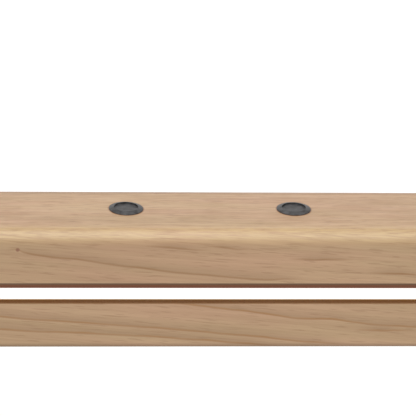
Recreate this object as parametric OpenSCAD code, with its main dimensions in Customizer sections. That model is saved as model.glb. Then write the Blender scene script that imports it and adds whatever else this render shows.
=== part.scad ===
// Table-top double-rail knitting loom with a turning head.
// Two rails of pegs, joined by end discs, turn between two side frames. A slotted front
// beam serves as wrist rest, and the finished fabric leaves through its slot.
// Millimetres. +X runs along the rails, -Y is the front, +Z is up. The origin is the
// centre of the footprint, on the surface that the loom stands on.

/* [Stand] */
// Clear width between the two side frames
inner_w = 480; // [300:10:900]
// Thickness of the side-frame boards
side_t = 20; // [18:1:28]
// Length of each foot, front to back
foot_len = 260; // [240:5:360]
// Height of each foot
foot_h = 30; // [24:1:45]
// Radius of the rounded upper ends of each foot
foot_r = 14; // [6:1:22]
// Thickness of the rubber pads under the feet
pad_h = 3; // [2:0.5:6]
// Diameter of the rubber pads
pad_d = 18; // [12:1:20]
// Width of each upright, front to back
upright_w = 60; // [50:1:80]
// Height of each arm, between front post and upright
arm_h = 28; // [24:1:40]
// Thickness of each arm
arm_t = 16; // [14:1:18]
// Drop from the top of the front beam to the top of each arm
arm_drop = 8; // [5:1:20]
// Diameter of the rear stretcher
stretcher_d = 22; // [18:1:28]
// Height of the rear stretcher's axis above the feet
stretcher_rise = 18; // [16:1:40]

/* [Front beam] */
// Height of the beam's top face above the table
beam_top = 110; // [95:1:125]
// Depth of the beam, front to back
beam_d = 42.4; // [38:0.1:60]
// Height of the beam
beam_h = 21.4; // [20:0.1:30]
// Radius of the beam's upper edges
beam_r_top = 5.2; // [2:0.2:7]
// Radius of the beam's lower edges
beam_r_low = 1.7; // [1:0.1:3]
// Distance from the feet's front ends to the beam's front face
beam_inset = 9; // [4:1:20]
// Height of the fabric slot under the beam
slot_h = 5.3; // [4.5:0.1:12]
// Height of the thin slat under the slot
slat_h = 16.9; // [12:0.1:25]
// Thickness of the thin slat
slat_t = 4; // [3:0.2:6]
// Depth of the slat's housings in the front posts
slat_housing = 4; // [3:0.5:6]

/* [Caps and bolts] */
// Outer diameter of a cover cap
cap_d = 12.2; // [11.8:0.1:16]
// Height of a cover cap above the wood, around its dish
cap_rise = 0.8; // [0.5:0.05:1.2]
// Height of a cover cap's outer edge
cap_edge = 0.2; // [0.1:0.05:0.4]
// Diameter of the shallow dish in a cover cap
cap_dish_d = 8.6; // [5:0.2:9]
// Depth of the dish in a cover cap
cap_dish = 0.6; // [0.2:0.05:0.9]
// Length of a cover cap's stem
cap_stem = 4; // [3:0.5:5]
// Distance between the two caps on the beam
cap_pitch = 60; // [40:1:120]
// Distance from the beam's front face to its row of caps
cap_row = 22.6; // [18:0.1:26]
// Diameter of the counterbores under the caps
cbore_d = 10.6; // [10.4:0.1:11]
// Length of the steel clamp plate
plate_len = 100; // [90:1:160]
// Width of the steel clamp plate
plate_w = 26; // [20:1:32]
// Thickness of the steel clamp plate
plate_t = 3; // [2:0.5:4]
// Height of the clamp plate's threaded boss
boss_h = 6; // [4:0.5:8]
// Diameter of the clamp plate's threaded boss
boss_d = 16; // [10:1:18]
// Tapping diameter of the clamp plate's quarter-inch thread
clamp_thread_d = 5.1; // [5:0.1:5.2]

/* [Turning head] */
// Height of the head's pivot axis above the table
pivot_z = 215; // [205:1:320]
// Distance of the pivot axis behind the centre of the feet
pivot_y = 20; // [10:1:40]
// Diameter of the two end discs
disc_d = 96; // [92:1:120]
// Thickness of the two end discs
disc_t = 12; // [11:0.5:18]
// Depth of a peg rail, front to back
rail_d = 30; // [24:1:40]
// Height of a peg rail
rail_h = 20; // [16:1:26]
// Width of the knitting slot between the two peg rails
knit_gap = 12; // [6:1:20]
// Radius of the peg rails' outer edges
rail_r = 3.8; // [2:0.2:5]
// Distance between neighbouring pegs
peg_pitch = 12; // [9:0.5:20]
// Height of a peg above its rail
peg_h = 18; // [14:0.5:24]
// Distance from a rail's inner edge to its pegs
peg_inset = 6; // [5:0.5:10]
// Shortest distance from a rail's end to its first peg
peg_margin = 14; // [8:1:30]
// Nominal diameter of the pivot bolts
pivot_bolt_d = 8; // [6:1:10]
// Diameter of the lock knobs
knob_d = 46; // [36:1:50]
// Height of the lock knobs
knob_h = 22.4; // [18:0.2:30]

/* [Index plunger] */
// Distance from the pivot axis to the index plunger
index_r = 38; // [36:0.5:40]
// Number of index holes in the right end disc
index_count = 8; // [4:4:8]
// Diameter of the plunger's pin
index_pin_d = 6; // [5:0.5:6]
// Inward travel of the plunger
index_travel = 6.5; // [5:0.5:7]

/* [Hidden] */
$fn = 64;

WOOD = "burlywood";
GREY = "dimgray";
STEEL = "lightgray";
BRASS = "goldenrod";
RUBBER = "#303030";

// Clearances between pieces, on the radius or on one side
drill_gap = 0.1;
running_gap = 0.05;
face_gap = 0.2;
over = 1;

// Side frames
frame_x = inner_w / 2;
outer_x = frame_x + side_t;
side_mid = frame_x + side_t / 2;
foot_top = pad_h + foot_h;
foot_r_low = 2;
pad_inset = 14;
pad_edge = 0.6;
beam_front = -foot_len / 2 + beam_inset;
beam_y = beam_front + beam_d / 2;
beam_back = beam_front + beam_d;
beam_low = beam_top - beam_h;
beam_mid = beam_top - beam_h / 2;
slat_top = beam_low - slot_h;
slat_r_top = 0.5;
slat_r_low = 0.3;
post_r_low = 0.6;
arm_top = beam_top - arm_drop;
arm_mid = arm_top - arm_h / 2;
upright_front = pivot_y - upright_w / 2;
stretcher_z = foot_top + stretcher_rise;

// Hardware
cap_y = beam_front + cap_row;
cap_stem_d = cbore_d - 2 * drill_gap;
cap_wall = 1.4;
cap_dome_z = (pow(cap_dish_d / 2, 2) + pow(cap_rise, 2) - pow(cap_d / 2, 2) - pow(cap_edge, 2))
    / (2 * (cap_rise - cap_edge));
cap_dome_r = norm([cap_d / 2, cap_edge - cap_dome_z]);
screw_tip = 0.2;
m5_d = 5;
m5_head_d = 9;
m5_head_h = 3;
m6_d = 6;
m6_head_d = 10;
m6_head_h = 6;
cap_room = cap_stem + 0.5;
m5_seat = m5_head_h + cap_room;
m6_seat = m6_head_h + cap_room;
nut_d = 10;
nut_len = 13;
nut_back = 38;
end_bolt_len = nut_back + nut_d;
dowel_d = 8;
dowel_grip = 14;
thin_dowel_d = 6;
thin_dowel_y = beam_front + beam_d * 0.2;
post_dowel_y = beam_y - beam_d * 0.24;
foot_screw_y = [pivot_y - upright_w / 4, pivot_y + upright_w / 4, beam_y + beam_d * 0.16];
foot_screw_d = 4.8;
foot_screw_head_d = 8.6;
foot_screw_head_h = 3.5;
foot_screw_bore = 9;
foot_screw_room = 0.4;
foot_screw_grip = 42;
stretcher_grip = 45;
stretcher_head_h = 3.6;
clamp_bolt_short = 0.5;
boss_room = 0.4;

// Turning head
bush_flange_t = 2.8;
bush_flange_d = 24;
bush_wall = 2;
bush_bore_d = pivot_bolt_d + 2 * bush_wall + 2 * drill_gap;
washer_t = 1.6;
washer_d = 24;
washer_gap = 0.3;
disc_out = frame_x - bush_flange_t - face_gap;
disc_in = disc_out - disc_t;
disc_edge = 2.5;
rail_len = 2 * disc_in;
rail_y = knit_gap / 2 + rail_d / 2;
rail_r_in = 1.5;
peg_y = knit_gap / 2 + peg_inset;
peg_count = floor((rail_len - 2 * peg_margin) / peg_pitch) + 1;
peg_span = (peg_count - 1) * peg_pitch;
peg_stem_d = 4;
peg_stem = 10;
peg_shaft_d = 4.6;
peg_neck_d = 3.8;
peg_head_d = 5.8;
peg_collar_d = 7;
peg_collar_h = 1.2;
peg_groove_w = 1;
peg_groove = 0.8;
bolt_head_d = 19;
bolt_head_h = 4.4;
bolt_neck = pivot_bolt_d;
bolt_neck_len = 3.5;
bolt_recess = bolt_head_h + 0.4;
rail_screw_d = 4;
rail_screw_head_d = 8;
rail_screw_len = 40;
rail_screw_y = 7;
rail_screw_below = 1;
rail_screw_z = pivot_z + rail_h / 2 - peg_stem - rail_screw_below - rail_screw_d / 2;
rail_screw_sunk = 0.5;
rail_screw_socket = 1.4;
knob_in = outer_x + washer_t + face_gap;
insert_d = pivot_bolt_d + 5;
insert_len = 14;
bolt_end = knob_in + insert_len - 1;
lobes = 5;
knob_core_r = knob_d * 0.39;
knob_lobe_r = knob_d * 0.15;
knob_top_r = knob_d * 0.31;
knob_slope_r = knob_d * 0.465;
knob_slope = 2.2;
knob_shoulder = 5;

// Index plunger, from the upright's inner face outwards
sleeve_d = 12;
sleeve_flange_d = 19;
sleeve_flange_t = 6;
sleeve_out = outer_x + sleeve_flange_t;
chamber_d = 9;
chamber_in = frame_x + 5.8;
chamber_out = sleeve_out - 4;
index_hole_spare = 0.5;
index_hole_gap = 0.15;
tip_x = frame_x - 0.4;
tip_chamfer = 0.8;
tip_d = index_pin_d - 1.4;
collar_in = chamber_in + index_travel + face_gap;
collar_t = 2;
collar_d = 8.6;
pull_stem_d = 4;
grip_in = sleeve_out + face_gap + index_travel;
grip_out = knob_in + knob_h;
grip_d = 20;
grip_neck_d = grip_d * 0.62;
grip_neck_len = 4;
grip_edge = 2.2;
grip_socket = grip_in + (grip_out - grip_in) * 0.6;
index_z = pivot_z - index_r;
spring_d = 0.9;
spring_mid_r = 3.2;
spring_turns = 5;
spring_steps = 12;
spring_sides = 6;
spring_gap = 0.02;

// ---------------------------------------------------------------- shared shapes

// Runs a profile, drawn in Y and Z, along X and centred on X = 0.
module along_x(length) {
    translate([-length / 2, 0, 0]) rotate([90, 0, 90]) linear_extrude(length) children();
}

// Stands a profile, drawn in Y and Z, between two places along X.
module between_x(from, to) {
    translate([from, 0, 0]) rotate([90, 0, 90]) linear_extrude(to - from) children();
}

// A round rod of diameter d along X.
module rod_x(from, to, y, z, d) {
    translate([from, y, z]) rotate([0, 90, 0]) cylinder(h = to - from, d = d);
}

// A round rod of diameter d along Y.
module rod_y(from, to, x, z, d) {
    translate([x, from, z]) rotate([-90, 0, 0]) cylinder(h = to - from, d = d);
}

// A round rod of diameter d along Z.
module rod_z(from, to, x, y, d) {
    translate([x, y, from]) cylinder(h = to - from, d = d);
}

// A bar's section with its low left corner at the origin. r holds the corner radii:
// low left, low right, top right, top left.
module bar_profile(w, h, r) {
    polygon([
        [r[0], 0], [w - r[1], 0], [w, r[1]], [w, h - r[2]],
        [w - r[2], h], [r[3], h], [0, h - r[3]], [0, r[0]]
    ]);
    translate([r[0], r[0]]) circle(r[0]);
    translate([w - r[1], r[1]]) circle(r[1]);
    translate([w - r[2], h - r[2]]) circle(r[2]);
    translate([r[3], h - r[3]]) circle(r[3]);
}

// The right half of a turned profile with its outer corners rounded, on the axis.
module disc_profile(r, t, edge) {
    square([r - edge, t]);
    translate([0, edge]) square([r, t - 2 * edge]);
    translate([r - edge, edge]) circle(edge);
    translate([r - edge, t - edge]) circle(edge);
}

// Puts what is drawn for the right side on the left when side is -1.
module on_side(side) {
    if (side > 0) children();
    else mirror([1, 0, 0]) children();
}

// A cover cap on the plane Z = 0: a domed rim around a dish, with a hollow stem below.
module cover_cap() {
    dish_z = cap_rise - cap_dish;
    rotate_extrude() {
        difference() {
            union() {
                intersection() {
                    translate([0, cap_dome_z]) circle(cap_dome_r);
                    square([cap_d / 2, cap_rise]);
                }
                translate([0, dish_z - cap_wall]) square([cap_stem_d / 2, cap_wall]);
            }
            translate([-over, dish_z]) square([cap_dish_d / 2 + over, cap_dish + over]);
        }
        translate([cap_stem_d / 2 - cap_wall, -cap_stem]) square([cap_wall, cap_stem]);
    }
}

// A socket-head bolt along +X from its seat, with its head on the -X side.
module bolt_x(d, head_d, head_h, len) {
    socket_d = d * 0.8;
    socket_floor = head_h * 0.45;
    rod_x(0, len, 0, 0, d);
    difference() {
        rod_x(-head_h, 0, 0, 0, head_d);
        rod_x(-head_h - over, -socket_floor, 0, 0, socket_d, $fn = 6);
    }
}

// A wood screw along +Z from its seat: flat head below, pointed tip above.
module wood_screw(d, head_d, head_h, len) {
    translate([0, 0, -head_h]) cylinder(h = head_h, d = head_d);
    cylinder(h = len - d, d = d);
    translate([0, 0, len - d]) cylinder(h = d, d1 = d, d2 = d * screw_tip);
}

// ---------------------------------------------------------------- stand

module foot(side) {
    color(WOOD) on_side(side) difference() {
        between_x(frame_x, outer_x)
            translate([-foot_len / 2, pad_h])
                bar_profile(foot_len, foot_h, [foot_r_low, foot_r_low, foot_r, foot_r]);
        for (y = foot_screw_y) {
            rod_z(pad_h - over, foot_top + over, side_mid, y, foot_screw_d + 2 * drill_gap);
            rod_z(pad_h - over, pad_h + foot_screw_bore, side_mid, y,
                foot_screw_head_d + 2 * foot_screw_room);
        }
        rod_z(foot_top - dowel_grip - drill_gap, foot_top + over, side_mid, post_dowel_y,
            dowel_d + 2 * drill_gap);
    }
}

module foot_pads() {
    color(RUBBER) for (sx = [-1, 1], sy = [-1, 1])
        translate([sx * side_mid, sy * (foot_len / 2 - pad_inset), 0])
            rotate_extrude() disc_profile(pad_d / 2, pad_h, pad_edge);
}

module foot_screws() {
    color(STEEL) for (side = [-1, 1], y = foot_screw_y)
        translate([side * side_mid, y, pad_h + foot_screw_bore])
            wood_screw(foot_screw_d, foot_screw_head_d, foot_screw_head_h,
                foot_h - foot_screw_bore + foot_screw_grip);
}

// The pilot holes above a foot, for the foot screws listed in rows.
module foot_screw_pilots(rows) {
    for (i = rows)
        rod_z(foot_top - over, foot_top + foot_screw_grip + 2 * drill_gap, side_mid,
            foot_screw_y[i], foot_screw_d + 2 * drill_gap);
}

// The two dowels that join an arm to the board in front of or behind it.
module arm_dowel_rods(y, grow) {
    for (dz = [-arm_h / 4, arm_h / 4])
        rod_y(y - dowel_grip - grow, y + dowel_grip + grow, side_mid, arm_mid + dz,
            dowel_d + 2 * grow);
}

module upright(side) {
    color(WOOD) on_side(side) difference() {
        between_x(frame_x, outer_x) {
            translate([upright_front, foot_top]) square([upright_w, pivot_z - foot_top]);
            translate([pivot_y, pivot_z]) circle(d = upright_w);
        }
        rod_x(frame_x - over, outer_x + over, pivot_y, pivot_z, bush_bore_d);
        rod_x(frame_x - over, outer_x + over, pivot_y, stretcher_z, m6_d + 2 * drill_gap);
        rod_x(outer_x - m6_seat, outer_x + over, pivot_y, stretcher_z, cbore_d);
        foot_screw_pilots([0, 1]);
        arm_dowel_rods(upright_front, drill_gap);
        if (side > 0)
            rod_x(frame_x - over, outer_x + over, pivot_y, index_z, sleeve_d + 2 * drill_gap);
    }
}

module front_post(side) {
    color(WOOD) on_side(side) difference() {
        between_x(frame_x, outer_x)
            translate([beam_front, foot_top])
                bar_profile(beam_d, beam_top - foot_top,
                    [post_r_low, post_r_low, beam_r_top, beam_r_top]);
        translate([frame_x - over, beam_front, slat_top - slat_h])
            cube([slat_housing + over, slat_t + drill_gap, slat_h + drill_gap]);
        rod_x(frame_x - over, outer_x + over, beam_y, beam_mid, m6_d + 2 * drill_gap);
        rod_x(outer_x - m6_seat, outer_x + over, beam_y, beam_mid, cbore_d);
        rod_x(frame_x - over, frame_x + side_t / 2 + drill_gap, thin_dowel_y, beam_mid,
            thin_dowel_d + 2 * drill_gap);
        foot_screw_pilots([2]);
        rod_z(foot_top - over, foot_top + dowel_grip + drill_gap, side_mid, post_dowel_y,
            dowel_d + 2 * drill_gap);
        arm_dowel_rods(beam_back, drill_gap);
    }
}

module arm(side) {
    color(WOOD) on_side(side) difference() {
        translate([side_mid - arm_t / 2, beam_back, arm_top - arm_h])
            cube([arm_t, upright_front - beam_back, arm_h]);
        arm_dowel_rods(beam_back, drill_gap);
        arm_dowel_rods(upright_front, drill_gap);
    }
}

module rear_stretcher() {
    color(WOOD) difference() {
        rod_x(-frame_x, frame_x, pivot_y, stretcher_z, stretcher_d);
        for (side = [-1, 1]) on_side(side)
            rod_x(frame_x - stretcher_grip - drill_gap, frame_x + over, pivot_y, stretcher_z,
                m6_d + 2 * drill_gap);
    }
}

module stretcher_screws() {
    color(STEEL) for (side = [-1, 1]) on_side(side)
        translate([outer_x - m6_seat, pivot_y, stretcher_z]) rotate([0, -90, 0])
            wood_screw(m6_d, m6_head_d, stretcher_head_h,
                side_t - m6_seat + stretcher_grip);
}

module dowel_pins() {
    color("wheat") for (side = [-1, 1]) on_side(side) {
        rod_z(foot_top - dowel_grip, foot_top + dowel_grip, side_mid, post_dowel_y, dowel_d);
        arm_dowel_rods(beam_back, 0);
        arm_dowel_rods(upright_front, 0);
        rod_x(frame_x - dowel_grip, frame_x + side_t / 2, thin_dowel_y, beam_mid,
            thin_dowel_d);
    }
}

// ---------------------------------------------------------------- front beam

module front_beam() {
    color(WOOD) difference() {
        along_x(inner_w) translate([beam_front, beam_low])
            bar_profile(beam_d, beam_h, [beam_r_low, beam_r_low, beam_r_top, beam_r_top]);
        for (side = [-1, 1]) {
            x = side * cap_pitch / 2;
            rod_z(beam_low - over, beam_top + over, x, cap_y, m5_d + 2 * drill_gap);
            rod_z(beam_top - m5_seat, beam_top + over, x, cap_y, cbore_d);
            on_side(side) beam_end_holes();
        }
        translate([-plate_len / 2 - drill_gap, cap_y - plate_w / 2 - drill_gap,
                beam_low - over])
            cube([plate_len + 2 * drill_gap, plate_w + 2 * drill_gap,
                plate_t + drill_gap + over]);
        rod_z(beam_low, beam_low + plate_t + boss_h + boss_room, 0, cap_y,
            boss_d + 2 * boss_room);
    }
}

module beam_end_holes() {
    rod_x(frame_x - end_bolt_len - over, frame_x + over, beam_y, beam_mid,
        m6_d + 2 * drill_gap);
    rod_z(beam_low - over, beam_mid + nut_len / 2 + drill_gap, frame_x - nut_back, beam_y,
        nut_d + 2 * drill_gap);
    rod_x(frame_x - dowel_grip - drill_gap, frame_x + over, thin_dowel_y, beam_mid,
        thin_dowel_d + 2 * drill_gap);
}

module slot_slat() {
    color(WOOD) along_x(inner_w + 2 * slat_housing - 2 * drill_gap)
        translate([beam_front, slat_top - slat_h])
            bar_profile(slat_t, slat_h, [slat_r_low, slat_r_low, slat_r_top, slat_r_top]);
}

module beam_caps() {
    color(GREY) for (side = [-1, 1])
        translate([side * cap_pitch / 2, cap_y, beam_top]) cover_cap();
}

module side_caps() {
    color(GREY) for (side = [-1, 1], at = [[beam_y, beam_mid], [pivot_y, stretcher_z]])
        on_side(side) translate([outer_x, at[0], at[1]]) rotate([0, 90, 0]) cover_cap();
}

module clamp_bolts() {
    color(STEEL) for (side = [-1, 1])
        translate([side * cap_pitch / 2, cap_y, beam_top - m5_seat]) rotate([0, 90, 0])
            bolt_x(m5_d, m5_head_d, m5_head_h, beam_h - m5_seat - clamp_bolt_short);
}

module clamp_plate() {
    color(STEEL) difference() {
        union() {
            translate([-plate_len / 2, cap_y - plate_w / 2, beam_low])
                cube([plate_len, plate_w, plate_t]);
            rod_z(beam_low, beam_low + plate_t + boss_h, 0, cap_y, boss_d);
        }
        rod_z(beam_low - over, beam_low + plate_t + boss_h + over, 0, cap_y,
            clamp_thread_d);
        for (side = [-1, 1])
            rod_z(beam_low - over, beam_low + plate_t + over, side * cap_pitch / 2, cap_y,
                m5_d + 2 * drill_gap);
    }
}

module beam_end_bolts() {
    color(STEEL) for (side = [-1, 1]) on_side(side)
        translate([outer_x - m6_seat, beam_y, beam_mid]) rotate([0, 0, 180])
            bolt_x(m6_d, m6_head_d, m6_head_h, side_t - m6_seat + end_bolt_len);
}

module barrel_nuts() {
    color(STEEL) for (side = [-1, 1]) on_side(side) difference() {
        rod_z(beam_mid - nut_len / 2, beam_mid + nut_len / 2, frame_x - nut_back, beam_y,
            nut_d);
        rod_x(frame_x - nut_back - nut_d, frame_x - nut_back + nut_d, beam_y, beam_mid,
            m6_d + 2 * drill_gap);
    }
}

// ---------------------------------------------------------------- turning head

module end_disc(side) {
    color(WOOD) on_side(side) difference() {
        translate([disc_in, pivot_y, pivot_z]) rotate([0, 90, 0])
            rotate_extrude() disc_profile(disc_d / 2, disc_t, disc_edge);
        rod_x(disc_in - over, disc_in + bolt_recess, pivot_y, pivot_z,
            bolt_head_d + 2 * drill_gap);
        neck = bolt_neck + 2 * drill_gap;
        translate([disc_in, pivot_y - neck / 2, pivot_z - neck / 2])
            cube([bolt_recess + bolt_neck_len + drill_gap, neck, neck]);
        rod_x(disc_in, disc_out + over, pivot_y, pivot_z, pivot_bolt_d + 2 * drill_gap);
        rail_screw_places() {
            rod_x(disc_in - over, disc_out + over, 0, 0, rail_screw_d + 2 * drill_gap);
            screw_sink(drill_gap);
        }
        if (side > 0) for (i = [0 : index_count - 1])
            translate([0, pivot_y, pivot_z]) rotate([i * 360 / index_count, 0, 0])
                rod_x(disc_out - index_travel - index_hole_spare, disc_out + over, 0, -index_r,
                    index_pin_d + 2 * index_hole_gap);
    }
}

// Puts a child at each place where a screw joins a peg rail to the right end disc.
module rail_screw_places() {
    for (sy = [-1, 1], dy = [-rail_screw_y, rail_screw_y])
        translate([0, pivot_y + sy * rail_y + dy, rail_screw_z]) children();
}

// The countersunk head of a rail screw, in the outer face of the right end disc.
module screw_sink(grow) {
    h = (rail_screw_head_d - rail_screw_d) / 2;
    translate([disc_out - h, 0, 0]) rotate([0, 90, 0])
        cylinder(h = h + grow, d1 = rail_screw_d + 2 * grow,
            d2 = rail_screw_head_d + 4 * grow);
}

module rail_screws() {
    tip_root = disc_out - rail_screw_len + rail_screw_d;
    color(STEEL) for (side = [-1, 1]) on_side(side) rail_screw_places() difference() {
        union() {
            screw_sink(0);
            rod_x(tip_root, disc_out - rail_screw_sunk, 0, 0, rail_screw_d);
            translate([tip_root, 0, 0]) rotate([0, -90, 0])
                cylinder(h = rail_screw_d, d1 = rail_screw_d, d2 = rail_screw_d * screw_tip);
        }
        rod_x(disc_out - rail_screw_socket, disc_out + over, 0, 0, rail_screw_d * 0.7,
            $fn = 6);
    }
}

// side -1 is the front rail, +1 the rear rail.
module peg_rail(side) {
    corners = side < 0 ? [rail_r, rail_r_in, rail_r_in, rail_r]
        : [rail_r_in, rail_r, rail_r, rail_r_in];
    low_y = pivot_y + side * rail_y - rail_d / 2;
    color(WOOD) difference() {
        along_x(rail_len) translate([low_y, pivot_z - rail_h / 2])
            bar_profile(rail_d, rail_h, corners);
        for (i = [0 : peg_count - 1])
            rod_z(pivot_z + rail_h / 2 - peg_stem - drill_gap, pivot_z + rail_h / 2 + over,
                i * peg_pitch - peg_span / 2, pivot_y + side * peg_y,
                peg_stem_d + 2 * running_gap);
        for (end = [-1, 1]) on_side(end) for (dy = [-rail_screw_y, rail_screw_y])
            rod_x(disc_out - rail_screw_len - drill_gap, disc_in + over,
                pivot_y + side * rail_y + dy, rail_screw_z, rail_screw_d + 2 * drill_gap);
    }
}

// A peg on the plane Z = 0 with its stem below, and its hook groove towards -Y.
module peg() {
    head_z = peg_h - peg_head_d / 2;
    difference() {
        rotate_extrude() {
            translate([0, -peg_stem]) square([peg_stem_d / 2, peg_stem]);
            square([peg_collar_d / 2, peg_collar_h]);
            polygon([
                [0, 0], [peg_shaft_d / 2, 0], [peg_neck_d / 2, head_z], [0, head_z]
            ]);
            intersection() {
                translate([0, head_z]) circle(d = peg_head_d);
                translate([0, head_z - peg_head_d]) square(2 * peg_head_d);
            }
        }
        translate([-peg_groove_w / 2, -peg_shaft_d / 2 - over, peg_collar_h])
            cube([peg_groove_w, over + peg_groove,
                head_z - peg_head_d / 2 - peg_collar_h]);
    }
}

module pegs(side) {
    color(GREY) for (i = [0 : peg_count - 1])
        translate([i * peg_pitch - peg_span / 2, pivot_y + side * peg_y,
                pivot_z + rail_h / 2])
            rotate([0, 0, side < 0 ? 0 : 180]) peg();
}

module pivot_bolt(side) {
    dome_r = (bolt_head_d * bolt_head_d / 4 + bolt_head_h * bolt_head_h) / (2 * bolt_head_h);
    seat = disc_in + bolt_recess;
    color(STEEL) on_side(side) {
        translate([seat, pivot_y, pivot_z]) rotate([0, -90, 0]) intersection() {
            cylinder(h = bolt_head_h, d = bolt_head_d);
            translate([0, 0, bolt_head_h - dome_r]) sphere(dome_r);
        }
        translate([seat, pivot_y - bolt_neck / 2, pivot_z - bolt_neck / 2])
            cube([bolt_neck_len, bolt_neck, bolt_neck]);
        rod_x(seat, bolt_end, pivot_y, pivot_z, pivot_bolt_d);
    }
}

module bush(side) {
    color("ivory") on_side(side) difference() {
        union() {
            rod_x(frame_x, outer_x, pivot_y, pivot_z, pivot_bolt_d + 2 * bush_wall);
            rod_x(frame_x - bush_flange_t, frame_x, pivot_y, pivot_z, bush_flange_d);
        }
        rod_x(frame_x - bush_flange_t - over, outer_x + over, pivot_y, pivot_z,
            pivot_bolt_d + 2 * running_gap);
    }
}

module washer(side) {
    color(STEEL) on_side(side) difference() {
        rod_x(outer_x, outer_x + washer_t, pivot_y, pivot_z, washer_d);
        rod_x(outer_x - over, outer_x + washer_t + over, pivot_y, pivot_z,
            pivot_bolt_d + 2 * washer_gap);
    }
}

module lock_knob(side) {
    color(GREY) on_side(side) translate([knob_in, pivot_y, pivot_z]) rotate([0, 90, 0])
        difference() {
            intersection() {
                linear_extrude(knob_h) {
                    circle(knob_core_r);
                    for (i = [0 : lobes - 1]) rotate(90 + i * 360 / lobes)
                        translate([knob_d / 2 - knob_lobe_r, 0]) circle(knob_lobe_r);
                }
                rotate_extrude() polygon([
                    [0, 0], [knob_d / 2 + over, 0], [knob_d / 2 + over, knob_h - knob_shoulder],
                    [knob_slope_r, knob_h - knob_slope], [knob_top_r, knob_h], [0, knob_h]
                ]);
            }
            translate([0, 0, -over]) cylinder(h = insert_len + over,
                d = insert_d + 2 * drill_gap);
        }
}

module knob_insert(side) {
    color(BRASS) on_side(side) difference() {
        rod_x(knob_in, knob_in + insert_len, pivot_y, pivot_z, insert_d);
        rod_x(knob_in - over, knob_in + insert_len + over, pivot_y, pivot_z,
            pivot_bolt_d + 2 * running_gap);
    }
}

// ---------------------------------------------------------------- index plunger

module plunger_sleeve() {
    color(STEEL) difference() {
        union() {
            rod_x(frame_x, outer_x, pivot_y, index_z, sleeve_d);
            rod_x(outer_x, sleeve_out, pivot_y, index_z, sleeve_flange_d, $fn = 6);
        }
        rod_x(frame_x - over, sleeve_out, pivot_y, index_z, index_pin_d + 2 * running_gap);
        rod_x(chamber_in, chamber_out, pivot_y, index_z, chamber_d);
        rod_x(chamber_out - over, sleeve_out + over, pivot_y, index_z,
            pull_stem_d + 2 * running_gap);
    }
}

module plunger_pin() {
    color(STEEL) {
        rod_x(tip_x + tip_chamfer, collar_in, pivot_y, index_z, index_pin_d);
        translate([tip_x, pivot_y, index_z]) rotate([0, 90, 0])
            cylinder(h = tip_chamfer, d1 = tip_d, d2 = index_pin_d);
        rod_x(collar_in, collar_in + collar_t, pivot_y, index_z, collar_d);
        rod_x(collar_in, grip_socket, pivot_y, index_z, pull_stem_d);
    }
}

module plunger_grip() {
    grip_len = grip_out - grip_in;
    color(GREY) difference() {
        translate([grip_in, pivot_y, index_z]) rotate([0, 90, 0]) rotate_extrude() {
            square([grip_neck_d / 2, grip_len]);
            translate([0, grip_neck_len])
                disc_profile(grip_d / 2, grip_len - grip_neck_len, grip_edge);
        }
        rod_x(grip_in - over, grip_socket + drill_gap, pivot_y, index_z,
            pull_stem_d + 2 * running_gap);
    }
}

// The coil spring between the pin's collar and the sleeve's outer wall.
module plunger_spring() {
    sides = spring_sides;
    steps = spring_steps * spring_turns;
    wire_r = spring_d / 2;
    from = collar_in + collar_t + wire_r + spring_gap;
    to = chamber_out - wire_r - spring_gap;
    points = [for (i = [0 : steps]) for (k = [0 : sides - 1])
        let(a = i * 360 / spring_steps, b = k * 360 / sides,
                x = from + (to - from) * i / steps, r = spring_mid_r + wire_r * cos(b))
            [x + wire_r * sin(b), pivot_y + r * cos(a), index_z + r * sin(a)]];
    last = steps * sides;
    walls = [for (i = [0 : steps - 1]) for (k = [0 : sides - 1])
        let(a = i * sides + k, b = i * sides + (k + 1) % sides)
            [a, b, b + sides, a + sides]];
    ends = [
        [for (k = [sides - 1 : -1 : 0]) k],
        [for (k = [0 : sides - 1]) last + k]
    ];
    color(STEEL) polyhedron(points, concat(walls, ends));
}

// ---------------------------------------------------------------- nodes

foot(-1);  // left_foot
foot(1);  // right_foot
upright(-1);  // left_upright
upright(1);  // right_upright
front_post(-1);  // left_front_post
front_post(1);  // right_front_post
arm(-1);  // left_arm
arm(1);  // right_arm
front_beam();
slot_slat();
rear_stretcher();
foot_pads();
beam_caps();
side_caps();
clamp_bolts();
clamp_plate();
beam_end_bolts();
barrel_nuts();
stretcher_screws();
foot_screws();
dowel_pins();
bush(-1);  // left_bush
bush(1);  // right_bush
washer(-1);  // left_washer
washer(1);  // right_washer
end_disc(-1);  // left_end_disc
end_disc(1);  // right_end_disc
peg_rail(-1);  // front_peg_rail
peg_rail(1);  // rear_peg_rail
pegs(-1);  // front_pegs
pegs(1);  // rear_pegs
rail_screws();
pivot_bolt(-1);  // left_pivot_bolt
pivot_bolt(1);  // right_pivot_bolt
lock_knob(-1);  // left_lock_knob
lock_knob(1);  // right_lock_knob
knob_insert(-1);  // left_knob_insert
knob_insert(1);  // right_knob_insert
plunger_sleeve();
plunger_pin();
plunger_grip();
plunger_spring();
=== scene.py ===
"""Looks for a table-top knitting loom: lacquered wood, moulded plastic, zinc-plated steel."""

import math
import random

import bpy
from mathutils import Matrix, Quaternion, Vector


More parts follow.
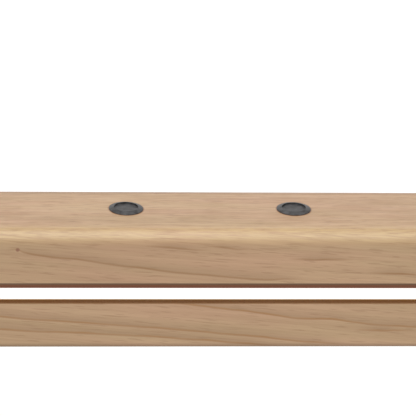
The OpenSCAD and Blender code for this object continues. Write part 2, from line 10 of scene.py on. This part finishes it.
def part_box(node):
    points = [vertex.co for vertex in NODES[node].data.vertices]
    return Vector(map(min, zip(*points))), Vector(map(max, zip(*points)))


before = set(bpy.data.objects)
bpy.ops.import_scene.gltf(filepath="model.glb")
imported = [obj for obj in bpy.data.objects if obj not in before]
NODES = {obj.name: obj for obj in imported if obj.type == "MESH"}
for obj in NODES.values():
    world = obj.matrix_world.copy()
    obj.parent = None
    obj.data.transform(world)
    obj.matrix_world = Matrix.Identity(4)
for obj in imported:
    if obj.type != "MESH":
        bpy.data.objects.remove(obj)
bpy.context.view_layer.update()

MM = 0.001
BEAM_LOW, BEAM_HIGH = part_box("front_beam")
SLAT_LOW, SLAT_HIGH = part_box("slot_slat")
CAPS_LOW, CAPS_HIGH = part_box("beam_caps")
CAP_RADIUS = (CAPS_HIGH.y - CAPS_LOW.y) / 2
CAP_X = CAPS_HIGH.x - CAP_RADIUS
CAP_Y = CAPS_HIGH.y - CAP_RADIUS

# The camera looks down on the beam, near the middle of its caps, from a little to the left.
# Angles are in degrees, here and in the lights. The distance is assumed.
VIEW_ELEVATION = 22.5
VIEW_TURN = -6.0
VIEW_ROLL = 0.16
VIEW_DISTANCE = 1.2
VIEW_WIDTH = 148.2 * MM
AIM_LEFT = 0.74 * MM
AIM_ABOVE = 0.32 * MM
SENSOR = 36.0
CLIP_NEAR, CLIP_FAR = 0.05, 50

KEY_LIGHT = {"elevation": 73, "turn": -12, "strength": 2.35, "spread": 60}
BACK_LIGHT = {"elevation": 24, "turn": 180, "strength": 0.62, "spread": 70}
WORLD_STRENGTH = 0.86
FLOOR_GLOW = 0.78
FLOOR_REACH = 30

# Colours are linear red, green and blue.
WHITE = (1, 1, 1, 1)
FLOOR_WHITE = (0.25, 0.25, 0.25, 1)
WOOD_PALE = (0.37, 0.233, 0.128)
WOOD_DEEP = (0.238, 0.136, 0.064)
WOOD_LINE = (0.175, 0.085, 0.03)
BEAM_VEIN = (0.215, 0.1, 0.028)
SLAT_VEIN = (0.25, 0.112, 0.025)
KNOT = (0.17, 0.06, 0.025)
PINKER = (1.02, 0.975, 0.99)
YELLOWER = (0.985, 1.02, 0.97)
# The next six colours carry painted light: three browns of painted shade, a painted warm
# glow, a painted golden highlight, and the rubbed lacquer's paler colour, which also stands
# for a painted highlight.
SHADE_BROWN = (0.078, 0.038, 0.015)
SHADE_DEEP = (0.112, 0.024, 0.001)
SLAT_SHADE = (0.132, 0.054, 0.008)
GLOW_AMBER = (0.5, 0.16, 0.012)
HIGHLIGHT_GOLD = (0.5, 0.31, 0.05)
WORN_AND_HIGHLIGHT = (0.425, 0.293, 0.145)
GREY = (0.0158, 0.0156, 0.016)
NYLON = (0.15, 0.14, 0.12)
ZINC = (0.55, 0.56, 0.58)
BRASS = (0.6, 0.4, 0.12)
RUBBER_DARK = (0.012, 0.012, 0.012)
RUBBER_PALE = (0.03, 0.03, 0.03)

# The usual range of a noise.
NOISE_LOW, NOISE_HIGH = 0.3, 0.7

# Noises in the wood: cycles a metre along the fibres and the two ways across them, detail,
# roughness.
WANDER = ((5, 22, 22), 3, 0.5)
FIBRE = ((14, 620, 620), 4, 0.6)
FLECK = ((130, 1700, 1700), 1, 0.5)
CLOUD = ((8, 60, 60), 3, 0.5)
HAIR = ((30, 2600, 2600), 2, 0.6)
HUE = ((16, 130, 130), 2, 0.5)
STREAK = ((28, 2000, 2000), 2, 0.6)
WAVER = ((60, 60, 60), 2, 0.5)
SCRATCH = ((200, 4000, 4000), 2, 0.5)

# How much each noise darkens or lightens the wood at most. Above the height calm the wood
# is more uneven by TOP_UNEVEN, its flecks' darkness changes by TOP_FLECK, and its tone
# changes by the top tone, a paler tone that is painted light on the upward face. A board
# without that height is in between.
FIBRE_TONE = 0.2
CLOUD_TONE = 0.17
HAIR_TONE = 0.15
TOP_UNEVEN = 0.6
BASE_TONE, TOP_PAINTED_LIGHT = 0.28, -0.06
BASE_FLECK, TOP_FLECK = 0.3, 0.14
CALM_BLEND = 1.5 * MM
HALF_CALM = 0.5

# Growth rings, as place within one ring and darkness.
LATE_WOOD = ((0.0, 0.0), (0.45, 0.12), (0.86, 0.45), (1.0, 0.6))
RING_LINE = ((0.0, 0.0), (0.88, 0.0), (0.955, 1.0), (1.0, 0.0))
# From the board's middle, where rings start to show on a board with drawn growth lines.
DRAWN_REACH = (75 * MM, 110 * MM)

# A board's own rings: their spacing, how far away their centre is, in millimetres, and how
# far it moves for each metre along the board.
BOARD_RING = 6 * MM
HEART_REACH = (35, 80)
BOARD_SLANT = 0.06
FIRST_SEED, SEED_STEP = 11, 7

# Growth lines on the faces towards the viewer, as points along the board and below its
# top, in millimetres. They follow the lines that the photo shows, read one by one.
BEAM_VEINS = [
    [(-69, 5.9), (-66.5, 7.3), (-59, 8.8), (-44.7, 10.2), (-34.5, 11.9), (-16, 14.4),
     (-3.6, 15.6), (9, 16.8), (17, 17.4), (26, 17.1)],
    [(-21, 4.8), (-14, 5.4), (-7, 6.1)],
    [(-1, 4.7), (3, 5.2), (8, 6.1)],
    [(30, 9.7), (44, 10)],
    [(58, 14.9), (73, 16)],
]
SLAT_VEINS = [
    [(-78, 4.8), (-56, 6.6), (-44, 7.6), (-35, 8.1), (-22.5, 9.2), (-3, 11), (15, 12.9),
     (42, 15.6)],
    [(-78, 9.8), (-65, 10.5), (-57, 10.9), (-47.5, 11.4), (-30, 12.1), (-21, 12.8),
     (-3, 14.2), (20, 16.4)],
    [(-11, 0.2), (0, 1.5), (10, 2.7), (22, 4.6), (33, 5.9), (44, 6.4), (51, 7.3), (60, 8.3),
     (82, 9.8)],
    [(55, 10.3), (67, 10.7)],
]
VEIN_WIDTH = 0.6 * MM
VEIN_TAIL = 3.6 * MM
VEIN_WAVER = 0.3 * MM
VEIN_DEEPEST = 20 * MM
VEIN_START, VEIN_END = 4 * MM, 6 * MM
KNOT_X, KNOT_DEPTH = -69.2 * MM, 6.3 * MM

# Marks on the beam and the slat: where each begins and where it is full, measured from the
# face or the edge named. Apart from the knot, they are painted light: painted shade along
# the back edge, round the caps and along the edges at the slot, a painted warm glow and a
# painted highlight at rims by the slot, and a painted highlight mixed with rubbed lacquer
# along the beam's rounded upper edge.
KNOT_EDGE = (0.9 * MM, 0.4 * MM)
WORN_LIT_FROM_FRONT = (10 * MM, 2.8 * MM)
WORN_LIT_FROM_TOP = (4.4 * MM, 1.6 * MM)
SHADE_FROM_BACK = (6.6 * MM, 5 * MM)
SHADE_ROUND_CAP = (0.6 * MM, 0)
SHADE_FROM_BOTTOM = (2.65 * MM, 2.15 * MM)
DEEP_SHADE_FROM_BOTTOM = (2.1 * MM, 1.5 * MM)
GLOW_FROM_BOTTOM = (0.55 * MM, 0.35 * MM)
SLAT_SHADE_FROM_TOP = (0.5 * MM, 0)
HIGHLIGHT_FROM_BACK = (1.3 * MM, 0.9 * MM)
SLAT_SHADE_FROM_BOTTOM = (1.6 * MM, 0.5 * MM)

# Rounding of the CAD nodes' edges.
WELD_GAP = 0.001 * MM
SHARP_ANGLE = 40
ROUNDING = {
    1.0 * MM: ["left_foot", "right_foot", "left_upright", "right_upright", "left_arm",
               "right_arm", "left_front_post", "right_front_post"],
    0.3 * MM: ["front_beam", "front_peg_rail", "rear_peg_rail", "slot_slat"],
    0.8 * MM: ["left_lock_knob", "right_lock_knob"],
}

# Boards by the axis that their fibres follow.
BOARDS = {
    0: ["rear_stretcher", "front_peg_rail", "rear_peg_rail"],
    1: ["left_foot", "right_foot", "left_arm", "right_arm"],
    2: ["left_upright", "right_upright", "left_front_post", "right_front_post",
        "left_end_disc", "right_end_disc"],
}
GREY_PIECES = ["beam_caps", "side_caps", "plunger_grip", "left_lock_knob",
               "right_lock_knob", "front_pegs", "rear_pegs"]
ZINC_PIECES = ["clamp_bolts", "clamp_plate", "beam_end_bolts", "barrel_nuts",
               "stretcher_screws", "foot_screws", "rail_screws", "left_washer",
               "right_washer", "left_pivot_bolt", "right_pivot_bolt", "plunger_sleeve",
               "plunger_pin", "plunger_spring"]


def rgba(colour):
    if isinstance(colour, bpy.types.NodeSocket) or len(colour) == 4:
        return colour
    return (*colour, 1)


def measured(face, edges, way=1):
    """The places of a mark's two edges, measured from a face, along way."""
    return [face + way * edge for edge in edges]


class Paint:
    """A material's node tree, with short calls to build it."""

    def __init__(self, name):
        self.material = bpy.data.materials.new(name)
        self.material.use_nodes = True
        self.tree = self.material.node_tree
        self.shader = self.tree.nodes["Principled BSDF"]
        self.place = self.add("ShaderNodeTexCoord").outputs["Object"]

    def add(self, kind, **settings):
        node = self.tree.nodes.new(kind)
        for key, value in settings.items():
            setattr(node, key, value)
        return node

    def feed(self, socket, value):
        if isinstance(value, bpy.types.NodeSocket):
            self.tree.links.new(value, socket)
        else:
            socket.default_value = value

    def set(self, **values):
        """Sets or links the shader's own sockets; an underscore stands for a space."""
        for name, value in values.items():
            self.feed(self.shader.inputs[name.replace("_", " ")], value)

    def math(self, operation, *values, clamp=False):
        node = self.add("ShaderNodeMath", operation=operation, use_clamp=clamp)
        for socket, value in zip(node.inputs, values):
            self.feed(socket, value)
        return node.outputs[0]

    def times(self, one, other):
        return self.math("MULTIPLY", one, other)

    def distance(self, one, other):
        """The length of the step whose two parts are one and other."""
        return self.math("SQRT", self.math("ADD", self.times(one, one),
                                           self.times(other, other)))

    def split(self, vector):
        node = self.add("ShaderNodeSeparateXYZ")
        self.feed(node.inputs[0], vector)
        return node.outputs[0], node.outputs[1], node.outputs[2]

    def join(self, x, y, z):
        node = self.add("ShaderNodeCombineXYZ")
        for socket, value in zip(node.inputs, (x, y, z)):
            self.feed(socket, value)
        return node.outputs[0]

    def noise(self, vector, scale, detail, roughness):
        node = self.add("ShaderNodeTexNoise")
        self.feed(node.inputs["Vector"], vector)
        node.inputs["Scale"].default_value = scale
        node.inputs["Detail"].default_value = detail
        node.inputs["Roughness"].default_value = roughness
        return node.outputs["Fac"]

    def stretched(self, vector, cycles, detail, roughness, shift=(0, 0, 0)):
        """Noise with its own number of cycles a metre along each axis."""
        node = self.add("ShaderNodeMapping")
        self.feed(node.inputs["Vector"], vector)
        node.inputs["Scale"].default_value = cycles
        node.inputs["Location"].default_value = shift
        return self.noise(node.outputs[0], 1.0, detail, roughness)

    def span(self, value, low, high, to_low=0.0, to_high=1.0, smooth=False):
        """Maps low..high to to_low..to_high and clamps it."""
        node = self.add("ShaderNodeMapRange", clamp=True)
        if smooth:
            node.interpolation_type = "SMOOTHSTEP"
        for socket, number in zip(node.inputs, (value, low, high, to_low, to_high)):
            self.feed(socket, number)
        return node.outputs[0]

    def swing(self, noise, to_low=0.0, to_high=1.0):
        """Maps the usual range of a noise to to_low..to_high."""
        return self.span(noise, NOISE_LOW, NOISE_HIGH, to_low, to_high)

    def ramp(self, value, stops):
        node = self.add("ShaderNodeValToRGB")
        points = node.color_ramp.elements
        while len(points) < len(stops):
            points.new(0.5)
        for point, (at, grey) in zip(points, stops):
            point.position = at
            point.color = (grey, grey, grey, 1)
        self.feed(node.inputs[0], value)
        return node.outputs[0]

    def mix(self, amount, one, other, blend="MIX"):
        node = self.add("ShaderNodeMix", data_type="RGBA", blend_type=blend)
        self.feed(node.inputs[0], amount)
        self.feed(node.inputs[6], rgba(one))
        self.feed(node.inputs[7], rgba(other))
        return node.outputs[2]

    def stain(self, colour, ink, mask, amount):
        """Covers colour with ink where mask is 1, as much as amount says."""
        return self.mix(self.times(mask, amount), colour, ink)

    def vein(self, along, depth, path):
        """A growth line through the points of path: its own darkness, and the softer one
        of the band above it."""
        first, last = path[0][0] * MM, path[-1][0] * MM
        node = self.add("ShaderNodeFloatCurve")
        curve = node.mapping.curves[0]
        places = [((x * MM - first) / (last - first), z * MM / VEIN_DEEPEST)
                  for x, z in path]
        curve.points[0].location, curve.points[1].location = places[0], places[-1]
        for x, z in places[1:-1]:
            curve.points.new(x, z)
        node.mapping.update()
        self.feed(node.inputs["Value"], self.span(along, first, last))
        line = self.times(node.outputs[0], VEIN_DEEPEST)
        below = self.math("SUBTRACT", depth, line)
        core = self.span(self.math("ABSOLUTE", below), VEIN_WIDTH, 0, smooth=True)
        band = self.times(self.span(below, -VEIN_TAIL, 0), self.span(below, VEIN_WIDTH, 0))
        ends = self.times(self.span(along, first - VEIN_START, first + VEIN_START),
                          self.span(along, last + VEIN_END, last - VEIN_END))
        return self.times(core, ends), self.times(band, ends)

    def bump(self, height, strength, distance):
        node = self.add("ShaderNodeBump")
        node.inputs["Strength"].default_value = strength
        node.inputs["Distance"].default_value = distance
        self.feed(node.inputs["Height"], height)
        self.feed(self.shader.inputs["Normal"], node.outputs[0])


# ---------------------------------------------------------------- materials


def wood(name, grain, heart, slant, ring, seed, lean=0.0, finish=None, calm=None):
    """Lacquered wood. grain is the axis that the fibres follow, 0, 1 or 2. heart is the
    place of the growth rings' centre across the grain, ring is their spacing, and slant is
    how far the centre moves across the grain for each metre along it. lean tilts the fibres
    themselves. finish may draw its own growth lines near the board's middle, and change the
    colour and the gloss. Below the height calm, the grain and the flecks are fainter."""
    paint = Paint(name)
    axes = paint.split(paint.place)
    along = axes[grain]
    across = [axes[i] for i in range(3) if i != grain]
    flow = paint.join(along, across[0], paint.math("MULTIPLY_ADD", along, lean, across[1]))
    shift = (seed * 1.7, seed * 0.31, seed * 0.47)

    offset = []
    for place, start, drift in zip(across, heart, slant):
        centre = paint.math("MULTIPLY_ADD", along, drift, start)
        offset.append(paint.math("SUBTRACT", place, centre))
    wander = paint.stretched(flow, *WANDER, shift)
    rings = paint.math("ADD", paint.math("DIVIDE", paint.distance(*offset), ring),
                       paint.span(wander, 0.2, 0.8, -0.5, 0.5))
    part = paint.math("FRACT", rings)
    number = paint.add("ShaderNodeTexWhiteNoise", noise_dimensions="1D")
    paint.feed(number.inputs["W"], paint.math("FLOOR", rings))
    strength = paint.span(number.outputs["Value"], 0, 1, 0.25, 1.0)
    if finish:
        apart = paint.math("ABSOLUTE", along)
        strength = paint.times(strength, paint.span(apart, *DRAWN_REACH))

    fibre = paint.stretched(flow, *FIBRE, shift)
    fleck = paint.span(paint.stretched(flow, *FLECK, shift), 0.58, 0.70, smooth=True)
    cloud = paint.stretched(flow, *CLOUD, shift)
    hair = paint.stretched(flow, *HAIR, shift)
    hue = paint.stretched(flow, *HUE, shift)

    top = HALF_CALM if calm is None else paint.span(axes[2], calm - CALM_BLEND, calm)
    uneven = paint.swing(fibre, -FIBRE_TONE, FIBRE_TONE)
    uneven = paint.math("ADD", uneven, paint.swing(cloud, -CLOUD_TONE, CLOUD_TONE))
    uneven = paint.math("ADD", uneven, paint.swing(hair, -HAIR_TONE, HAIR_TONE))
    uneven = paint.times(uneven, paint.math("MULTIPLY_ADD", top, TOP_UNEVEN, 1.0))
    tone = paint.math("MULTIPLY_ADD", paint.ramp(part, LATE_WOOD), strength, uneven)
    # Above calm the tone is paler: painted light on the upward face.
    tone = paint.math("ADD", tone, paint.math("MULTIPLY_ADD", top, TOP_PAINTED_LIGHT, BASE_TONE),
                      clamp=True)
    colour = paint.mix(tone, WOOD_PALE, WOOD_DEEP)
    tint = paint.mix(paint.span(hue, 0.35, 0.65), PINKER, YELLOWER)
    colour = paint.mix(1.0, colour, tint, "MULTIPLY")
    line = paint.times(paint.ramp(part, RING_LINE), strength)
    colour = paint.stain(colour, WOOD_LINE, line, amount=0.55)
    dark = paint.math("MULTIPLY_ADD", top, TOP_FLECK, BASE_FLECK)
    colour = paint.stain(colour, WOOD_LINE, fleck, amount=dark)
    rough = paint.swing(fibre, 0.38, 0.50)
    if finish:
        colour, rough = finish(paint, colour, rough, fibre)

    paint.set(Base_Color=colour, Roughness=rough, Specular_IOR_Level=0.62)
    height = paint.math("SUBTRACT", fibre, paint.times(fleck, 0.8))
    paint.bump(height, strength=0.22, distance=0.12 * MM)
    return paint.material


def veined(paint, colour, along, depth, veins, ink):
    """Draws growth lines in the colour ink, each with a darker band above it."""
    waver = paint.stretched(paint.place, *WAVER)
    depth = paint.math("ADD", depth, paint.swing(waver, -VEIN_WAVER, VEIN_WAVER))
    for path in veins:
        core, band = paint.vein(along, depth, path)
        colour = paint.stain(colour, WOOD_DEEP, band, amount=0.62)
        colour = paint.stain(colour, ink, core, amount=paint.swing(waver, 0.4, 0.9))
    return colour


def beam_finish(paint, colour, rough, fibre):
    """Growth lines and a pin knot on the front, lacquer rubbed thin along the rounded
    upper edge together with a painted highlight there, painted shade along the back edge
    and round the caps, and painted shade along the lower edge at the slot, with a painted
    warm glow at its rim."""
    x, y, z = paint.split(paint.place)
    depth = paint.math("SUBTRACT", BEAM_HIGH.z, z)
    colour = veined(paint, colour, x, depth, BEAM_VEINS, BEAM_VEIN)
    knot = paint.distance(paint.math("SUBTRACT", x, KNOT_X),
                          paint.math("SUBTRACT", depth, KNOT_DEPTH))
    colour = paint.mix(paint.span(knot, *KNOT_EDGE, 0, 0.85), colour, KNOT)

    # The rounded upper edge turns to the paler worn colour in streaks: lacquer rubbed thin,
    # and a painted highlight.
    forward = paint.span(y, *measured(BEAM_LOW.y, WORN_LIT_FROM_FRONT), smooth=True)
    upward = paint.span(z, *measured(BEAM_HIGH.z, WORN_LIT_FROM_TOP, -1), smooth=True)
    slanted = paint.join(x, y, paint.math("MULTIPLY_ADD", x, 0.1, z))
    streak = paint.span(paint.stretched(slanted, *STREAK), 0.40, 0.64, 1.0, 0.2)
    streak = paint.times(streak, paint.span(fibre, 0.35, 0.65, 1.0, 0.75))
    rubbed_and_lit = paint.times(paint.times(forward, upward), streak)
    colour = paint.mix(rubbed_and_lit, colour, WORN_AND_HIGHLIGHT)

    # Painted shade, darker towards the back edge of the top.
    back = paint.span(y, *measured(BEAM_HIGH.y, SHADE_FROM_BACK, -1), smooth=True)
    colour = paint.stain(colour, SHADE_BROWN, back, amount=0.27)
    # Painted shade in a thin ring round each cap.
    aside = paint.math("SUBTRACT", paint.math("ABSOLUTE", x), CAP_X)
    reach = paint.distance(aside, paint.math("SUBTRACT", y, CAP_Y))
    cap_shade = paint.span(reach, *measured(CAP_RADIUS, SHADE_ROUND_CAP))
    colour = paint.stain(colour, SHADE_DEEP, cap_shade, amount=0.7)

    # Painted shade along the lower edge at the slot, deepest near the bottom, with a painted
    # warm glow at the very rim.
    slot_shade = paint.span(z, *measured(BEAM_LOW.z, SHADE_FROM_BOTTOM), smooth=True)
    deep_shade = paint.span(z, *measured(BEAM_LOW.z, DEEP_SHADE_FROM_BOTTOM))
    rim_glow = paint.span(z, *measured(BEAM_LOW.z, GLOW_FROM_BOTTOM))
    dark = paint.mix(rim_glow, paint.mix(deep_shade, SHADE_BROWN, SHADE_DEEP), GLOW_AMBER)
    colour = paint.stain(colour, dark, slot_shade, amount=0.95)
    return colour, paint.math("MULTIPLY_ADD", slot_shade, 0.35, rough)


def slat_finish(paint, colour, rough, fibre):
    """Growth lines, painted shade along the upper edge under the beam, with a painted golden
    highlight at its back rim, and painted shade along the lower edge."""
    x, y, z = paint.split(paint.place)
    depth = paint.math("SUBTRACT", SLAT_HIGH.z, z)
    colour = veined(paint, colour, x, depth, SLAT_VEINS, SLAT_VEIN)
    # Painted shade along the upper edge under the beam, with a painted highlight at its back
    # rim.
    slot_shade = paint.span(depth, *SLAT_SHADE_FROM_TOP, smooth=True)
    rim_highlight = paint.span(y, *measured(SLAT_HIGH.y, HIGHLIGHT_FROM_BACK, -1))
    shade_colour = paint.mix(rim_highlight, SLAT_SHADE, HIGHLIGHT_GOLD)
    colour = paint.stain(colour, shade_colour, slot_shade, amount=0.95)
    # Painted shade along the lower edge.
    low = paint.span(z, *measured(SLAT_LOW.z, SLAT_SHADE_FROM_BOTTOM))
    colour = paint.stain(colour, SHADE_BROWN, low, amount=0.5)
    return colour, paint.math("MULTIPLY_ADD", slot_shade, 0.4, rough)


def plastic(name, colour, rough):
    """Moulded plastic with a fine spark-eroded texture and faint, paler wear."""
    paint = Paint(name)
    grain = paint.noise(paint.place, 2600, detail=2, roughness=0.6)
    cloud = paint.noise(paint.place, 520, detail=4, roughness=0.65)
    worn = [part * 4 for part in colour]
    tint = paint.mix(paint.span(cloud, 0.38, 0.66), colour, worn)
    paint.set(Base_Color=tint, Roughness=paint.swing(cloud, rough, rough + 0.2))
    paint.set(Specular_IOR_Level=0.4)
    paint.bump(grain, strength=0.25, distance=0.05 * MM)
    return paint.material


def metal(name, colour, rough):
    """Plated or turned metal with fine scratches and a little mottling."""
    paint = Paint(name)
    cloud = paint.noise(paint.place, 260, detail=3, roughness=0.6)
    scratch = paint.stretched(paint.place, *SCRATCH)
    dulled = [part * 0.8 for part in colour]
    tint = paint.mix(paint.swing(cloud), colour, dulled)
    gloss = paint.swing(cloud, rough, rough + 0.15)
    paint.set(Base_Color=tint, Metallic=1.0, Roughness=gloss)
    paint.bump(scratch, strength=0.12, distance=0.03 * MM)
    return paint.material


def rubber(name):
    """Dull, slightly mottled rubber."""
    paint = Paint(name)
    cloud = paint.noise(paint.place, 900, detail=3, roughness=0.6)
    tint = paint.mix(cloud, RUBBER_DARK, RUBBER_PALE)
    paint.set(Base_Color=tint, Roughness=0.8)
    paint.bump(cloud, strength=0.3, distance=0.1 * MM)
    return paint.material


def coat(names, material):
    for name in names:
        mesh = NODES[name].data
        mesh.materials.clear()
        mesh.materials.append(material)


def board(name, grain, seed):
    """Coats one board with its own rings and streaks, drawn from its seed."""
    low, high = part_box(name)
    centre = (low + high) / 2
    draw = random.Random(seed)
    across = [centre[i] for i in range(3) if i != grain]
    turn = draw.uniform(0, 2 * math.pi)
    reach = draw.uniform(*HEART_REACH) * MM
    heart = (across[0] + reach * math.cos(turn), across[1] + reach * math.sin(turn))
    slant = (draw.uniform(-BOARD_SLANT, BOARD_SLANT), draw.uniform(-BOARD_SLANT, BOARD_SLANT))
    coat([name], wood(name + "_wood", grain, heart, slant, BOARD_RING, seed))


def finishes():
    """Gives every piece its material."""
    in_front = (BEAM_LOW.y - 70 * MM, BEAM_LOW.z - 55 * MM)
    coat(["front_beam"],
         wood("beam_wood", grain=0, heart=in_front, slant=(0, -0.13), ring=8 * MM, seed=3,
              lean=0.07, finish=beam_finish, calm=BEAM_HIGH.z))
    underneath = (SLAT_LOW.y - 20 * MM, SLAT_LOW.z - 80 * MM)
    coat(["slot_slat"],
         wood("slat_wood", grain=0, heart=underneath, slant=(0, -0.093), ring=5.5 * MM,
              seed=8, lean=0.09, finish=slat_finish, calm=BEAM_HIGH.z))
    for grain, names in BOARDS.items():
        for i, name in enumerate(names):
            board(name, grain, FIRST_SEED + SEED_STEP * grain + i)
    coat(["dowel_pins"],
         wood("beech", grain=0, heart=(0, 0), slant=(0, 0), ring=3 * MM, seed=5))
    coat(GREY_PIECES, plastic("grey_plastic", GREY, rough=0.42))
    coat(ZINC_PIECES, metal("zinc_steel", ZINC, rough=0.28))
    coat(["left_knob_insert", "right_knob_insert"], metal("brass", BRASS, rough=0.25))
    coat(["left_bush", "right_bush"], plastic("nylon", NYLON, rough=0.4))
    coat(["foot_pads"], rubber("rubber"))


def soften(name, width):
    """Rounds a CAD node's sharp edges, as sanding or a mould does."""
    weld = NODES[name].modifiers.new("weld", "WELD")
    weld.merge_threshold = WELD_GAP
    bevel = NODES[name].modifiers.new("soft_edges", "BEVEL")
    bevel.width = width
    bevel.segments = 2
    bevel.limit_method = "ANGLE"
    bevel.angle_limit = math.radians(SHARP_ANGLE)
    bevel.harden_normals = True


def soft_edges():
    for width, names in ROUNDING.items():
        for name in names:
            soften(name, width)


# ---------------------------------------------------------------- stage


def direction(elevation, turn):
    """Points from the object to a place at that elevation, turned from the front to +X."""
    rise, side = math.radians(elevation), math.radians(turn)
    return Vector((math.sin(side) * math.cos(rise), -math.cos(side) * math.cos(rise),
                   math.sin(rise)))


def camera():
    target = (CAPS_LOW + CAPS_HIGH) / 2
    target.z = BEAM_HIGH.z
    back = direction(VIEW_ELEVATION, VIEW_TURN)
    # The beam runs level across the picture, apart from the roll.
    right = (Vector((1, 0, 0)) - back * back.x).normalized()
    right.rotate(Quaternion(back, math.radians(VIEW_ROLL)))
    up = back.cross(right)
    target += up * AIM_ABOVE - right * AIM_LEFT
    data = bpy.data.cameras.new("camera")
    data.sensor_width = SENSOR
    data.lens = SENSOR * VIEW_DISTANCE / VIEW_WIDTH
    data.clip_start, data.clip_end = CLIP_NEAR, CLIP_FAR
    eye = bpy.data.objects.new("camera", data)
    eye.matrix_world = Matrix.Translation(target + back * VIEW_DISTANCE) @ Matrix(
        (right, up, back)).transposed().to_4x4()
    bpy.context.scene.collection.objects.link(eye)
    bpy.context.scene.camera = eye


def floor():
    mesh = bpy.data.meshes.new("floor")
    corners = [(-1, -1), (1, -1), (1, 1), (-1, 1)]
    mesh.from_pydata([(x * FLOOR_REACH, y * FLOOR_REACH, 0) for x, y in corners], [],
                     [(0, 1, 2, 3)])
    plane = bpy.data.objects.new("floor", mesh)
    bpy.context.scene.collection.objects.link(plane)
    paint = Paint("floor")
    paint.set(Base_Color=FLOOR_WHITE, Roughness=0.9, Specular_IOR_Level=0.1)
    paint.set(Emission_Color=WHITE, Emission_Strength=FLOOR_GLOW)
    mesh.materials.append(paint.material)


def sun(name, elevation, turn, strength, spread):
    """A distant white light, softer the wider its spread."""
    light = bpy.data.lights.new(name, "SUN")
    light.energy = strength
    light.angle = math.radians(spread)
    lamp = bpy.data.objects.new(name, light)
    lamp.rotation_mode = "QUATERNION"
    lamp.rotation_quaternion = direction(elevation, turn).to_track_quat("Z", "Y")
    bpy.context.scene.collection.objects.link(lamp)


def lights():
    sun("key", **KEY_LIGHT)
    sun("back", **BACK_LIGHT)
    world = bpy.data.worlds.new("studio")
    world.use_nodes = True
    background = world.node_tree.nodes["Background"]
    background.inputs["Color"].default_value = WHITE
    background.inputs["Strength"].default_value = WORLD_STRENGTH
    bpy.context.scene.world = world
    bpy.context.scene.view_settings.view_transform = "Standard"


camera()
floor()
lights()
finishes()
soft_edges()
